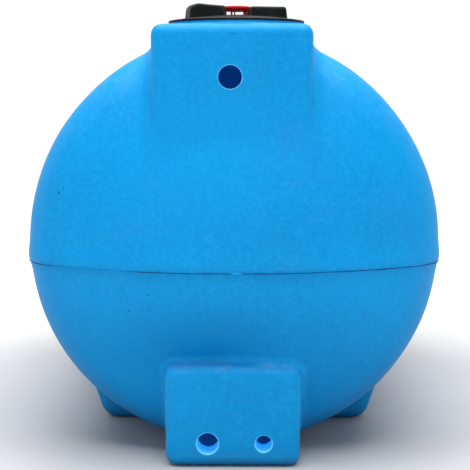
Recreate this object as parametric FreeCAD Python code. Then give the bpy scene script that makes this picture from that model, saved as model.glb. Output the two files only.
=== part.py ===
"""Horizontal polyethylene drinking-water store for livestock, with a screw lid.

Millimetres. +Z is up and Z = 0 is the floor. The barrel lies along Y, and the
end with the filler turret and the outlets faces -Y. The origin is on the floor
under the middle of the barrel. One STEP file is written for each piece.
"""
import FreeCAD, Part
import math
import os

Vector = FreeCAD.Vector
ORIGIN = Vector(0, 0, 0)
UP = Vector(0, 0, 1)
ALONG = Vector(0, 1, 0)

# Barrel and its two domed ends
BARREL_RADIUS = 390.0
BARREL_LENGTH = 830.0
DOME_DEPTH = 200.0
KNUCKLE_RADIUS = 120.0          # tight bend between the barrel and the crown of a dome
FLOOR_GAP = 4.0                 # under the lowest line of the barrel
WALL = 7.0                      # moulded wall
AXIS_Z = BARREL_RADIUS + FLOOR_GAP
RING_Y = BARREL_LENGTH / 2      # where each dome starts

# Stiffening hoops: shallow channels round the barrel
HOOP_PITCH = 180.0
HOOP_COUNT = 4
HOOP_WIDTH = 34.0
HOOP_DEPTH = 8.0
SEAM_ANGLE = 55.0               # where each turned surface closes, clear of other edges

# Flash left by the mould where its two halves met
PARTING_Z = AXIS_Z - 34.0
FLASH_HEIGHT = 1.6
FLASH_REACH = 1.5

# Filler turret, a square block that rises out of the front end
FACE_Y = -(RING_Y + 173.0)      # flat front of the turret and of the outlet boss
TURRET_WIDTH = 284.0
TURRET_DEPTH = 290.0
TURRET_TOP = AXIS_Z + 404.0
TURRET_ROOT = AXIS_Z + 60.0     # buried in the barrel
TURRET_EDGE = 20.0
COLLAR_RADIUS = 125.0
COLLAR_TOP = TURRET_TOP + 6.0
MOUTH_RADIUS = 107.0
LID_X = 5.0
LID_Y = FACE_Y + TURRET_EDGE + COLLAR_RADIUS

# Outlet boss, a square block at the foot of the front end
BOSS_WIDTH = 246.0
BOSS_DEPTH = 233.0
BOSS_TOP = AXIS_Z - 200.0
BOSS_EDGE = 21.0

# Moulded sockets in the boss, bored for G 1 1/4 and G 1 threads
SOCKET_Z = 45.0
SOCKET_DEPTH = 50.0
SOCKET_WALL = 8.0
LARGE_SOCKET_X = -46.0
LARGE_SOCKET_RADIUS = 38.95 / 2
SMALL_SOCKET_X = 56.0
SMALL_SOCKET_RADIUS = 30.29 / 2
SOCKET_LEAD_IN = 2.0

# Plain hole high in the turret, cut for a G 1 1/4 through fitting
UPPER_HOLE_X = -5.0
UPPER_HOLE_Z = TURRET_TOP - 94.0
UPPER_HOLE_RADIUS = 21.0

# Four feet
FOOT_OUTER_X = 262.0
FOOT_WIDTH = 115.0
FOOT_LENGTH = 140.0
FOOT_CENTRE_Y = HOOP_PITCH      # midway between two hoops
FOOT_HEIGHT = 190.0
FOOT_OUTER_FLARE = 0.31         # sideways run for each millimetre of height
FOOT_END_FLARE = 0.12
FOOT_EDGE = 14.0

# Threaded neck ring, let into the collar
RING_FLANGE_RADIUS = 119.7
RING_FLANGE_HEIGHT = 3.0
RING_BORE = 103.0
RING_OUTER = MOUTH_RADIUS - 0.5
RING_LENGTH = 24.0
REBATE_RADIUS = RING_FLANGE_RADIUS + 0.3
RING_SEAL_HEIGHT = 2.0
RING_TOP = COLLAR_TOP
REBATE_Z = RING_TOP - RING_FLANGE_HEIGHT - RING_SEAL_HEIGHT

# Countersunk screws that hold the ring down
SCREW_COUNT = 8
SCREW_CIRCLE = 114.5
SCREW_HEAD_RADIUS = 4.0
SCREW_RADIUS = 2.0
SCREW_LENGTH = 11.0
SCREW_CLEARANCE = 0.3
PILOT_CLEARANCE = 0.05
DRIVE_RADIUS = 1.6
DRIVE_DEPTH = 1.6

# Screw thread between the lid and the ring
THREAD_PITCH = 8.0
THREAD_ROOT_WIDTH = 3.4
THREAD_CREST_WIDTH = 2.2
THREAD_BEDDING = 0.4            # how far a ridge is sunk into its wall
RING_CREST = 100.4
RING_THREAD_TURNS = 1.5
RING_THREAD_START = RING_TOP - 17.0
LID_CREST = 102.4
LID_THREAD_TURNS = 1.25
LID_THREAD_START = RING_THREAD_START - THREAD_PITCH / 2

# Lid
LID_RADIUS = 126.0
LID_SEAT_Z = RING_TOP + 0.5     # underside of the rim
LID_RIM_Z = LID_SEAT_Z + 3.4
LID_CROWN_Z = LID_RIM_Z + 9.6
LID_PLATE = 4.5
SPIGOT_RADIUS = 99.2
SPIGOT_WALL = 4.0
SPIGOT_BOTTOM = RING_TOP - 23.0
GASKET_INNER = 104.0
GASKET_OUTER = 109.0
GASKET_HEIGHT = 2.5
GASKET_SIDE_GAP = 0.3
RIB_ANGLES = (45, 90, 135, 225, 270, 315)
RIB_THICKNESS = 2.5
RIB_BOTTOM = LID_SEAT_Z - 4.0

# Waisted grip bar across the lid
GRIP_LENGTH = 185.0
GRIP_END_WIDTH = 42.0
GRIP_WAIST_WIDTH = 30.0
GRIP_TOP = LID_CROWN_Z + 17.5
GRIP_ROOT = LID_CROWN_Z - 9.0
GRIP_DRAFT = 2.5                # how much each side leans in over the height
GRIP_EDGE = 5.0
GRIP_WALL = 3.5
GRIP_TURN = 17.0                # degrees, with the lid screwed home

# Vent in the middle of the lid
VENT_HOLE = 22.0
VENT_POCKET = 28.5              # round gap in the grip bar
VENT_SEAL_INNER = 22.4
VENT_SEAL_OUTER = 26.0
VENT_SEAL_HEIGHT = 2.5
VENT_SEAT_Z = LID_CROWN_Z - 1.4
VENT_CUP_INNER = 25.5
VENT_CUP_OUTER = 30.0
VENT_CUP_BOTTOM = LID_SEAT_Z - 10.5
SCREEN_RADIUS = 27.0
SCREEN_SIDE_GAP = 0.2
SCREEN_THICKNESS = 0.8
SCREEN_TOP = VENT_CUP_BOTTOM + 6.0
SCREEN_MESH = 3.0
SCREEN_HOLE = 2.0
SCREEN_MARGIN = 3.2
SNAP_RING_INNER = 24.0
SNAP_RING_HEIGHT = 2.5
CAP_BOTTOM = LID_CROWN_Z + 8.7
CAP_HEIGHT = 8.6
CAP_RADIUS = 26.5
CAP_FOOT_RADIUS = 23.0
CAP_BROW_HEIGHT = 4.4           # height at which the cap is widest
CAP_CROWN = 0.8
LEG_COUNT = 5
LEG_FIRST_ANGLE = -26.0         # degrees from the front, towards +X
LEG_INNER = 18.5
LEG_OUTER = 21.5
LEG_WIDTH = 2.4
BARB_REACH = 23.6
BARB_HEIGHT = 4.2
BARB_GAP = 0.5                  # under the plate when the cap is up


def box_between(low, high):
    """Box from its lowest corner to its highest corner."""
    size = high - low
    return Part.makeBox(size.x, size.y, size.z, low)


def rod(radius, bottom, top, x=0.0, y=0.0):
    """Upright cylinder."""
    return Part.makeCylinder(radius, top - bottom, Vector(x, y, bottom), UP)


def pipe(inner, outer, bottom, top, x=0.0, y=0.0):
    """Upright ring with a square section."""
    return rod(outer, bottom, top, x, y).cut(rod(inner, bottom, top, x, y))


def polygon_edges(points):
    """Straight edges from each point to the next one."""
    return [Part.LineSegment(a, b).toShape() for a, b in zip(points, points[1:])]


def arc_edge(start, middle, end):
    """Round edge through three points."""
    return Part.Arc(start, middle, end).toShape()


def turned(edges, axis):
    """Solid of revolution of a closed outline that lies on one side of an axis."""
    return Part.Face(Part.Wire(edges)).revolve(ORIGIN, axis, 360)


def at_lid(shape):
    """Move a piece made round the Z axis to the axis of the lid."""
    return shape.translated(Vector(LID_X, LID_Y, 0))


def on_circle(radius, angle, centre_y=0.0, centre_z=0.0):
    """Point of a circle in the YZ plane; the angle is measured from +Z towards +Y."""
    return Vector(0, centre_y + radius * math.sin(angle), centre_z + radius * math.cos(angle))


def dome_edges(end, inset):
    """Knuckle arc and crown arc of one end (-1 front, 1 back), from barrel to tip."""
    knuckle_z = BARREL_RADIUS - KNUCKLE_RADIUS
    gap = DOME_DEPTH - KNUCKLE_RADIUS
    crown = (knuckle_z ** 2 + DOME_DEPTH ** 2 - KNUCKLE_RADIUS ** 2) / (2 * gap)
    crown_y = end * (RING_Y + DOME_DEPTH - crown)
    meeting = math.asin(knuckle_z / (crown - KNUCKLE_RADIUS))
    turn = math.pi / 2 - meeting
    knuckle = [on_circle(KNUCKLE_RADIUS - inset, end * turn * share, end * RING_Y, knuckle_z)
               for share in (0, 0.5, 1)]
    cap = [on_circle(crown - inset, end * (math.pi / 2 - meeting * share), crown_y)
           for share in (1, 0.5, 0)]
    return [arc_edge(*knuckle), arc_edge(*cap)]


def hoop_centres():
    """Places of the hoops along Y, spread evenly about the middle."""
    first = -HOOP_PITCH * (HOOP_COUNT - 1) / 2
    return [first + HOOP_PITCH * index for index in range(HOOP_COUNT)]


def barrel_form(inset):
    """Barrel with hoops and both domes, shrunk by inset on every side."""
    radius = BARREL_RADIUS - inset
    edges = dome_edges(-1, inset)
    last = Vector(0, -RING_Y, radius)
    for centre in hoop_centres():
        start = Vector(0, centre - HOOP_WIDTH / 2, radius)
        middle = Vector(0, centre, radius - HOOP_DEPTH)
        end = Vector(0, centre + HOOP_WIDTH / 2, radius)
        edges += polygon_edges([last, start])
        edges.append(arc_edge(start, middle, end))
        last = end
    edges += polygon_edges([last, Vector(0, RING_Y, radius)])
    edges += dome_edges(1, inset)
    back_tip = Vector(0, RING_Y + DOME_DEPTH - inset, 0)
    front_tip = Vector(0, -RING_Y - DOME_DEPTH + inset, 0)
    edges += polygon_edges([back_tip, front_tip])
    form = turned(edges, ALONG).rotated(ORIGIN, ALONG, SEAM_ANGLE)
    return form.translated(Vector(0, 0, AXIS_Z))


def is_upright(edge):
    """True for a straight vertical edge."""
    direction = edge.Vertexes[-1].Point - edge.Vertexes[0].Point
    return direction.Length > 1 and abs(direction.z) > 0.99 * direction.Length


def turret_form(inset):
    """Square block of the turret with its upright and top edges rounded."""
    half = TURRET_WIDTH / 2 - inset
    top = TURRET_TOP - inset
    front = FACE_Y + inset
    back = FACE_Y + TURRET_DEPTH - inset
    block = box_between(Vector(-half, front, TURRET_ROOT), Vector(half, back, top))
    rounded = [e for e in block.Edges if is_upright(e) or e.BoundBox.ZMin > top - 1]
    return block.makeFillet(TURRET_EDGE - inset, rounded)


def boss_form(inset):
    """Square block of the outlet boss, rounded along its front, top and bottom edges."""
    half = BOSS_WIDTH / 2 - inset
    low = Vector(-half, FACE_Y + inset, inset)
    high = Vector(half, FACE_Y + BOSS_DEPTH - inset, BOSS_TOP - inset)
    block = box_between(low, high)
    rounded = [e for e in block.Edges if e.BoundBox.YMin < high.y - 1]
    return block.makeFillet(BOSS_EDGE - inset, rounded)


def foot_outline(side, centre_y, height, inset):
    """Rectangle of a foot at one height."""
    outer = FOOT_OUTER_X + FOOT_OUTER_FLARE * height - inset
    inner = FOOT_OUTER_X - FOOT_WIDTH + inset
    half = FOOT_LENGTH / 2 + FOOT_END_FLARE * height - inset
    corners = [(inner, -half), (outer, -half), (outer, half), (inner, half), (inner, -half)]
    return Part.makePolygon([Vector(side * x, centre_y + y, height) for x, y in corners])


def foot_form(side, centre_y, inset):
    """Flared foot, rounded all round apart from the end buried in the barrel."""
    lower = foot_outline(side, centre_y, inset, inset)
    upper = foot_outline(side, centre_y, FOOT_HEIGHT, inset)
    foot = Part.makeLoft([lower, upper], True, True)
    rounded = [e for e in foot.Edges if e.BoundBox.ZMin < FOOT_HEIGHT - 1]
    return foot.makeFillet(FOOT_EDGE - inset, rounded)


def tank_form(inset):
    """Whole closed outside of the tank, or its inside when inset is the wall."""
    form = barrel_form(inset)
    form = form.fuse(turret_form(inset))
    form = form.fuse(boss_form(inset))
    for side in (-1, 1):
        for centre_y in (-FOOT_CENTRE_Y, FOOT_CENTRE_Y):
            form = form.fuse(foot_form(side, centre_y, inset))
    return form


def parting_flash():
    """Thin proud line all round the tank at the height where the mould opened."""
    reach = BARREL_RADIUS + BARREL_LENGTH
    low = Vector(-reach, -reach, PARTING_Z - FLASH_HEIGHT / 2)
    high = Vector(reach, reach, PARTING_Z + FLASH_HEIGHT / 2)
    ring = barrel_form(-FLASH_REACH).common(box_between(low, high))
    return ring.cut(barrel_form(WALL / 2))


def front_cylinder(radius, x, z, depth):
    """Cylinder that runs from the front face into the tank."""
    return Part.makeCylinder(radius, depth, Vector(x, FACE_Y, z), ALONG)


def lead_in(radius, x, z, size):
    """Cone that breaks the front edge of a hole."""
    return Part.makeCone(radius + size, radius, size, Vector(x, FACE_Y, z), ALONG)


def screw_places():
    """Centres of the ring screws round the axis of the lid."""
    places = []
    for index in range(SCREW_COUNT):
        angle = 2 * math.pi * (index + 0.5) / SCREW_COUNT
        places.append((SCREW_CIRCLE * math.cos(angle), SCREW_CIRCLE * math.sin(angle)))
    return places


def tank_shell():
    """One-piece moulded shell: barrel, turret, boss, feet and moulded sockets."""
    sockets = ((LARGE_SOCKET_X, LARGE_SOCKET_RADIUS), (SMALL_SOCKET_X, SMALL_SOCKET_RADIUS))
    shell = tank_form(0).cut(tank_form(WALL))
    shell = shell.fuse(parting_flash())
    shell = shell.fuse(at_lid(rod(COLLAR_RADIUS, TURRET_TOP - WALL, COLLAR_TOP)))
    shell = shell.cut(at_lid(rod(MOUTH_RADIUS, TURRET_TOP - 2 * WALL, COLLAR_TOP)))
    shell = shell.cut(at_lid(rod(REBATE_RADIUS, REBATE_Z, COLLAR_TOP)))
    for x, y in screw_places():
        pilot_bottom = RING_TOP - SCREW_LENGTH - 0.5
        pilot = rod(SCREW_RADIUS + PILOT_CLEARANCE, pilot_bottom, REBATE_Z, x, y)
        shell = shell.cut(at_lid(pilot))
    for x, radius in sockets:
        socket = front_cylinder(radius + SOCKET_WALL, x, SOCKET_Z, SOCKET_DEPTH)
        plain_wall = front_cylinder(radius + SOCKET_WALL, x, SOCKET_Z, WALL / 2)
        shell = shell.fuse(socket.cut(plain_wall))
        shell = shell.cut(front_cylinder(radius, x, SOCKET_Z, SOCKET_DEPTH))
        shell = shell.cut(lead_in(radius, x, SOCKET_Z, SOCKET_LEAD_IN))
    shell = shell.cut(front_cylinder(UPPER_HOLE_RADIUS, UPPER_HOLE_X, UPPER_HOLE_Z, 2 * WALL))
    return shell.removeSplitter()


def helical_ridge(wall_radius, crest_radius, turns, start_z):
    """Thread ridge that climbs a wall, out from it or in from it."""
    outward = math.copysign(1, crest_radius - wall_radius)
    root = wall_radius - outward * THREAD_BEDDING
    half_root = THREAD_ROOT_WIDTH / 2
    half_crest = THREAD_CREST_WIDTH / 2
    outline = Part.makePolygon([
        Vector(root, 0, -half_root),
        Vector(crest_radius, 0, -half_crest),
        Vector(crest_radius, 0, half_crest),
        Vector(root, 0, half_root),
        Vector(root, 0, -half_root),
    ])
    helix = Part.makeHelix(THREAD_PITCH, THREAD_PITCH * turns, wall_radius)
    ridge = Part.Wire(helix.Edges).makePipeShell([outline], True, True)
    return ridge.translated(Vector(0, 0, start_z))


def neck_ring():
    """Ring with a flange, an inside thread and holes for its screws."""
    ring = pipe(RING_BORE, RING_OUTER, RING_TOP - RING_LENGTH, RING_TOP)
    flange_bottom = RING_TOP - RING_FLANGE_HEIGHT
    ring = ring.fuse(pipe(RING_BORE + 1, RING_FLANGE_RADIUS, flange_bottom, RING_TOP))
    for x, y in screw_places():
        ring = ring.cut(rod(SCREW_RADIUS + SCREW_CLEARANCE, flange_bottom, RING_TOP, x, y))
        ring = ring.cut(countersink(SCREW_HEAD_RADIUS + PILOT_CLEARANCE, x, y))
    ring = ring.fuse(helical_ridge(RING_BORE, RING_CREST, RING_THREAD_TURNS, RING_THREAD_START))
    return at_lid(ring.removeSplitter())


def countersink(radius, x, y):
    """Cone of a countersunk head whose flat top is level with the ring."""
    depth = radius - SCREW_RADIUS
    bottom = Vector(x, y, RING_TOP - depth)
    return Part.makeCone(SCREW_RADIUS, radius, depth, bottom, UP)


def neck_ring_seal():
    """Flat rubber ring between the flange and the tank, with screw holes."""
    seal_top = REBATE_Z + RING_SEAL_HEIGHT
    seal = pipe(MOUTH_RADIUS + 0.3, RING_FLANGE_RADIUS - 0.2, REBATE_Z, seal_top)
    for x, y in screw_places():
        seal = seal.cut(rod(SCREW_RADIUS + SCREW_CLEARANCE, REBATE_Z, seal_top, x, y))
    return at_lid(seal)


def ring_screw(x, y):
    """Countersunk self-tapping screw with a hexagon socket."""
    shank = rod(SCREW_RADIUS, RING_TOP - SCREW_LENGTH, RING_TOP - DRIVE_DEPTH / 2, x, y)
    screw = shank.fuse(countersink(SCREW_HEAD_RADIUS, x, y))
    corners = []
    for index in range(7):
        angle = math.pi * index / 3
        corner = Vector(math.cos(angle), math.sin(angle), 0) * DRIVE_RADIUS
        corners.append(Vector(x, y, RING_TOP - DRIVE_DEPTH) + corner)
    drive = Part.Face(Part.makePolygon(corners)).extrude(UP * DRIVE_DEPTH)
    return screw.cut(drive)


def neck_ring_screws():
    """All the ring screws, as separate solids."""
    return at_lid(Part.Compound([ring_screw(x, y) for x, y in screw_places()]))


def crown_z(radius):
    """Height of the domed top of the lid at a distance from its axis."""
    fall = LID_CROWN_Z - LID_RIM_Z
    return LID_CROWN_Z - fall * (radius / (LID_RADIUS - 1.5)) ** 2


def crown_arc(inner, outer, drop):
    """Round stretch of the domed plate, drop below its top."""
    middle = (inner + outer) / 2
    points = [Vector(r, 0, crown_z(r) - drop) for r in (inner, middle, outer)]
    return arc_edge(*points)


def lid_plate():
    """Turned part of the lid: plate, rim, gasket groove, spigot and vent cup."""
    spigot_inner = SPIGOT_RADIUS - SPIGOT_WALL
    groove_inner = GASKET_INNER - GASKET_SIDE_GAP
    groove_outer = GASKET_OUTER + GASKET_SIDE_GAP
    groove_top = RING_TOP + GASKET_HEIGHT
    seal_pocket = VENT_SEAL_OUTER + 0.3
    screen_pocket = SCREEN_RADIUS + SCREEN_SIDE_GAP
    rim_corner = LID_RADIUS - 1.5
    top_outer = Vector(rim_corner, 0, crown_z(rim_corner))
    top_inner = Vector(seal_pocket, 0, crown_z(seal_pocket))
    under_outer = Vector(spigot_inner, 0, crown_z(spigot_inner) - LID_PLATE)
    under_inner = Vector(VENT_CUP_OUTER, 0, crown_z(VENT_CUP_OUTER) - LID_PLATE)
    cup_ceiling = crown_z(VENT_HOLE) - LID_PLATE
    edges = [crown_arc(seal_pocket, rim_corner, 0)]
    edges.append(arc_edge(
        top_outer,
        Vector(LID_RADIUS - 0.45, 0, LID_RIM_Z - 0.45),
        Vector(LID_RADIUS, 0, LID_RIM_Z - 1.5)))
    edges += polygon_edges([
        Vector(LID_RADIUS, 0, LID_RIM_Z - 1.5),
        Vector(LID_RADIUS, 0, LID_SEAT_Z),
        Vector(groove_outer, 0, LID_SEAT_Z),
        Vector(groove_outer, 0, groove_top),
        Vector(groove_inner, 0, groove_top),
        Vector(groove_inner, 0, LID_SEAT_Z),
        Vector(SPIGOT_RADIUS, 0, LID_SEAT_Z),
        Vector(SPIGOT_RADIUS, 0, SPIGOT_BOTTOM),
        Vector(spigot_inner, 0, SPIGOT_BOTTOM),
        under_outer,
    ])
    edges.append(crown_arc(spigot_inner, VENT_CUP_OUTER, LID_PLATE))
    edges += polygon_edges([
        under_inner,
        Vector(VENT_CUP_OUTER, 0, VENT_CUP_BOTTOM),
        Vector(screen_pocket, 0, VENT_CUP_BOTTOM),
        Vector(screen_pocket, 0, SCREEN_TOP),
        Vector(VENT_CUP_INNER, 0, SCREEN_TOP),
        Vector(VENT_CUP_INNER, 0, cup_ceiling),
        Vector(VENT_HOLE, 0, cup_ceiling),
        Vector(VENT_HOLE, 0, VENT_SEAT_Z),
        Vector(seal_pocket, 0, VENT_SEAT_Z),
        top_inner,
    ])
    return turned(edges, UP)


def under_crown():
    """Everything under the middle of the plate's thickness, inside the spigot."""
    outer = SPIGOT_RADIUS - SPIGOT_WALL / 2
    drop = LID_PLATE / 2
    edges = [crown_arc(0, outer, drop)]
    edges += polygon_edges([
        Vector(outer, 0, crown_z(outer) - drop),
        Vector(outer, 0, RIB_BOTTOM),
        Vector(0, 0, RIB_BOTTOM),
        Vector(0, 0, crown_z(0) - drop),
    ])
    return turned(edges, UP)


def lid_ribs():
    """Radial stiffeners under the plate, between the vent cup and the spigot."""
    low = Vector(VENT_CUP_OUTER - 1, -RIB_THICKNESS / 2, RIB_BOTTOM)
    high = Vector(SPIGOT_RADIUS, RIB_THICKNESS / 2, LID_CROWN_Z)
    blank = box_between(low, high)
    ribs = [blank.rotated(ORIGIN, UP, angle) for angle in RIB_ANGLES]
    return Part.Compound(ribs).common(under_crown())


def grip_outline(inset, height):
    """Bow-tie outline of the grip bar: wide ends and a narrow waist."""
    half = GRIP_LENGTH / 2 - inset
    end = GRIP_END_WIDTH / 2 - inset
    waist = GRIP_WAIST_WIDTH / 2 - inset
    corners = [Vector(-half, -end, height), Vector(half, -end, height),
               Vector(half, end, height), Vector(-half, end, height)]
    edges = [
        arc_edge(corners[0], Vector(0, -waist, height), corners[1]),
        Part.LineSegment(corners[1], corners[2]).toShape(),
        arc_edge(corners[2], Vector(0, waist, height), corners[3]),
        Part.LineSegment(corners[3], corners[0]).toShape(),
    ]
    return Part.Wire(edges)


def grip_block(inset, bottom, top):
    """Tapered bar between two heights."""
    lower = grip_outline(inset, bottom)
    upper = grip_outline(inset + GRIP_DRAFT, top)
    return Part.makeLoft([lower, upper], True, True)


def grip_bar():
    """Outside of the grip bar with rounded top edges and the gap for the vent."""
    bar = grip_block(0, GRIP_ROOT, GRIP_TOP)
    rounded = [e for e in bar.Edges if e.BoundBox.ZMin > GRIP_TOP - 1 or
               e.BoundBox.ZLength > 1]
    bar = bar.makeFillet(GRIP_EDGE, rounded)
    return bar.cut(rod(VENT_POCKET, GRIP_ROOT - 1, GRIP_TOP + 1))


def grip_hollow():
    """Space inside the bar, open underneath and closed round the vent."""
    hollow = grip_block(GRIP_WALL, RIB_BOTTOM, GRIP_TOP - GRIP_WALL)
    return hollow.cut(rod(VENT_POCKET + GRIP_WALL, RIB_BOTTOM, GRIP_TOP))


def lid():
    """Moulded screw lid: plate, grip bar, ribs, spigot and outside thread."""
    body = lid_plate().fuse(grip_bar())
    body = body.cut(grip_hollow())
    body = body.fuse(lid_ribs())
    body = body.removeSplitter()
    body = body.rotated(ORIGIN, UP, GRIP_TURN)
    thread = helical_ridge(SPIGOT_RADIUS, LID_CREST, LID_THREAD_TURNS, LID_THREAD_START)
    return at_lid(body.fuse(thread))


def lid_gasket():
    """Flat rubber ring in the groove of the lid, resting on the neck ring."""
    return at_lid(pipe(GASKET_INNER, GASKET_OUTER, RING_TOP, RING_TOP + GASKET_HEIGHT))


def vent_seal():
    """Rubber ring on the lid that the vent cap closes on."""
    top = VENT_SEAT_Z + VENT_SEAL_HEIGHT
    return at_lid(pipe(VENT_SEAL_INNER, VENT_SEAL_OUTER, VENT_SEAT_Z, top))


def cap_disc():
    """Turned head of the vent cap, widest part way up and slightly domed."""
    brow_z = CAP_BOTTOM + CAP_BROW_HEIGHT
    top_z = CAP_BOTTOM + CAP_HEIGHT
    shoulder = CAP_RADIUS - 2.0
    sphere = (shoulder ** 2 + CAP_CROWN ** 2) / (2 * CAP_CROWN)
    half_angle = math.asin(shoulder / sphere) / 2
    middle = Vector(sphere * math.sin(half_angle), 0,
                    top_z + CAP_CROWN - sphere * (1 - math.cos(half_angle)))
    edges = polygon_edges([
        Vector(0, 0, top_z + CAP_CROWN),
        Vector(0, 0, CAP_BOTTOM),
        Vector(CAP_FOOT_RADIUS, 0, CAP_BOTTOM),
        Vector(CAP_RADIUS, 0, brow_z),
    ])
    edges.append(arc_edge(
        Vector(CAP_RADIUS, 0, brow_z),
        Vector(CAP_RADIUS - 0.7, 0, top_z - 1.3),
        Vector(shoulder, 0, top_z)))
    edges.append(arc_edge(
        Vector(shoulder, 0, top_z), middle, Vector(0, 0, top_z + CAP_CROWN)))
    return turned(edges, UP)


def cap_leg():
    """Snap leg with a barb that stops the cap from coming out of the lid."""
    barb_top = crown_z(VENT_HOLE) - LID_PLATE - BARB_GAP
    barb_bottom = barb_top - BARB_HEIGHT
    outline = Part.makePolygon([
        Vector(LEG_INNER, -LEG_WIDTH / 2, barb_bottom),
        Vector(LEG_OUTER, -LEG_WIDTH / 2, barb_bottom),
        Vector(BARB_REACH, -LEG_WIDTH / 2, barb_top),
        Vector(LEG_OUTER, -LEG_WIDTH / 2, barb_top),
        Vector(LEG_OUTER, -LEG_WIDTH / 2, CAP_BOTTOM + 1),
        Vector(LEG_INNER, -LEG_WIDTH / 2, CAP_BOTTOM + 1),
        Vector(LEG_INNER, -LEG_WIDTH / 2, barb_bottom),
    ])
    return Part.Face(outline).extrude(ALONG * LEG_WIDTH)


def vent_cap():
    """Red vent cap: a head on snap legs, with air gaps between the legs."""
    cap = cap_disc()
    for index in range(LEG_COUNT):
        angle = LEG_FIRST_ANGLE - 90 + 360 * index / LEG_COUNT
        cap = cap.fuse(cap_leg().rotated(ORIGIN, UP, angle))
    return at_lid(cap.removeSplitter())


def screen_holes():
    """Square holes of the insect screen, on a square grid."""
    reach = SCREEN_RADIUS - SCREEN_MARGIN
    steps = int(reach / SCREEN_MESH)
    bottom = SCREEN_TOP - SCREEN_THICKNESS
    holes = []
    for column in range(-steps, steps + 1):
        for row in range(-steps, steps + 1):
            x = column * SCREEN_MESH
            y = row * SCREEN_MESH
            if math.hypot(x, y) <= reach - SCREEN_HOLE / 2:
                low = Vector(x - SCREEN_HOLE / 2, y - SCREEN_HOLE / 2, bottom)
                high = Vector(x + SCREEN_HOLE / 2, y + SCREEN_HOLE / 2, SCREEN_TOP)
                holes.append(box_between(low, high))
    return Part.Compound(holes)


def vent_screen():
    """Insect screen under the vent hole."""
    disc = rod(SCREEN_RADIUS, SCREEN_TOP - SCREEN_THICKNESS, SCREEN_TOP)
    return at_lid(disc.cut(screen_holes()))


def vent_screen_ring():
    """Snap ring that holds the insect screen in the vent cup."""
    top = SCREEN_TOP - SCREEN_THICKNESS
    return at_lid(pipe(SNAP_RING_INNER, SCREEN_RADIUS, top - SNAP_RING_HEIGHT, top))


PIECES = {
    "tank_shell": tank_shell,
    "neck_ring": neck_ring,
    "neck_ring_seal": neck_ring_seal,
    "neck_ring_screws": neck_ring_screws,
    "lid": lid,
    "lid_gasket": lid_gasket,
    "vent_seal": vent_seal,
    "vent_cap": vent_cap,
    "vent_screen": vent_screen,
    "vent_screen_ring": vent_screen_ring,
}

os.makedirs("parts", exist_ok=True)
for name, make in PIECES.items():
    piece = make()
    piece.exportStep("parts/" + name + ".step")
    litres = piece.Volume / 1e6
    print(name, len(piece.Solids), "solid(s)", round(litres, 4), "litres", piece.isValid())
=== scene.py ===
"""Looks of the horizontal polyethylene water tank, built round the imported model.

Metres, in the model's own frame: Z is up, Z = 0 is the floor, and the front of the
tank, with its filler turret and its outlets, faces -Y.
"""

import math

import bpy
import numpy as np
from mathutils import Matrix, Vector


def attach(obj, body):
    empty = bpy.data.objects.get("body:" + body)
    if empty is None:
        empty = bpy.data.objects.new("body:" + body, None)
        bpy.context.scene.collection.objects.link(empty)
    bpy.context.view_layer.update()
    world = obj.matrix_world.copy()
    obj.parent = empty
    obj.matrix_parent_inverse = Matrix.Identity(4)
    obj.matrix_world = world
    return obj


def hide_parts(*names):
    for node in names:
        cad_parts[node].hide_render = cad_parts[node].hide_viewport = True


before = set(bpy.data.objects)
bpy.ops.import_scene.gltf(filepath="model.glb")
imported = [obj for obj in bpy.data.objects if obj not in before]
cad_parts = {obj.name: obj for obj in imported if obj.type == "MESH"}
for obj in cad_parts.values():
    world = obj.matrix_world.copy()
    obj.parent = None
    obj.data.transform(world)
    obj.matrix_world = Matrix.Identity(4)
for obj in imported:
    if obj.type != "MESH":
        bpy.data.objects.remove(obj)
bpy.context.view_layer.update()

MM = 0.001
UP = (0, 0, 1)
INWARD = (0, 1, 0)                  # into the tank from its front

# Barrel and domes
BARREL_RADIUS = 390 * MM
RING_Y = 415 * MM                   # where each dome starts
DOME_DEPTH = 200 * MM
KNUCKLE_RADIUS = 120 * MM
AXIS_Z = 394 * MM
UPPER_SQUEEZE = 0.989               # heights over the axis count for this share only
WALL = 7 * MM
HOOPS_Y = (-270 * MM, -90 * MM, 90 * MM, 270 * MM)
HOOP_HALF_WIDTH = 21 * MM
HOOP_DEPTH = 8 * MM

# Where the mould's two halves met
PARTING_Z = 360 * MM
SEAM_SWELL = 3.4 * MM
SEAM_SWELL_RISE = 10 * MM           # height of the swelling over the parting line
SEAM_SWELL_SPREAD = 15 * MM
SEAM_STEP = 1.2 * MM                # how far the lower half is set back
SEAM_STEP_HALF = 8 * MM             # half the height over which the step grows
SEAM_STEP_FADE = 45 * MM            # how fast the step fades further down

# Filler turret at the front
FACE_Y = -588 * MM                  # front of the boss
TURRET_X = -2 * MM
TURRET_HALF = 144.5 * MM
TURRET_BACK = -298 * MM
TURRET_TOP = 798 * MM
TURRET_ROOT = 454 * MM
TURRET_EDGE = 20 * MM
TURRET_BOW = 9 * MM                 # how far the face falls back at its upright edges
TURRET_SETBACK = 3.5 * MM           # how far the turret's face lies behind the boss's
TURRET_CREASE = 5 * MM              # fillet under the front face
TURRET_FILLET = 24 * MM             # fillet along the sides

# Outlet boss at the foot of the front
BOSS_HALF = 123 * MM
BOSS_BACK = -355 * MM
BOSS_TOP = 183 * MM
BOSS_EDGE = 21 * MM
BOSS_ARCH = 4 * MM
BOSS_FLARE = 0.02                   # gain in half width for each unit of height
BOSS_FILLET = 16 * MM

# Sunken patch over the boss
HOLLOW_X = -42 * MM
HOLLOW_Z = 182 * MM
HOLLOW_HALF_WIDTH = 84 * MM
HOLLOW_HALF_HEIGHT = 52 * MM
HOLLOW_DEPTH = 27 * MM

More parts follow.
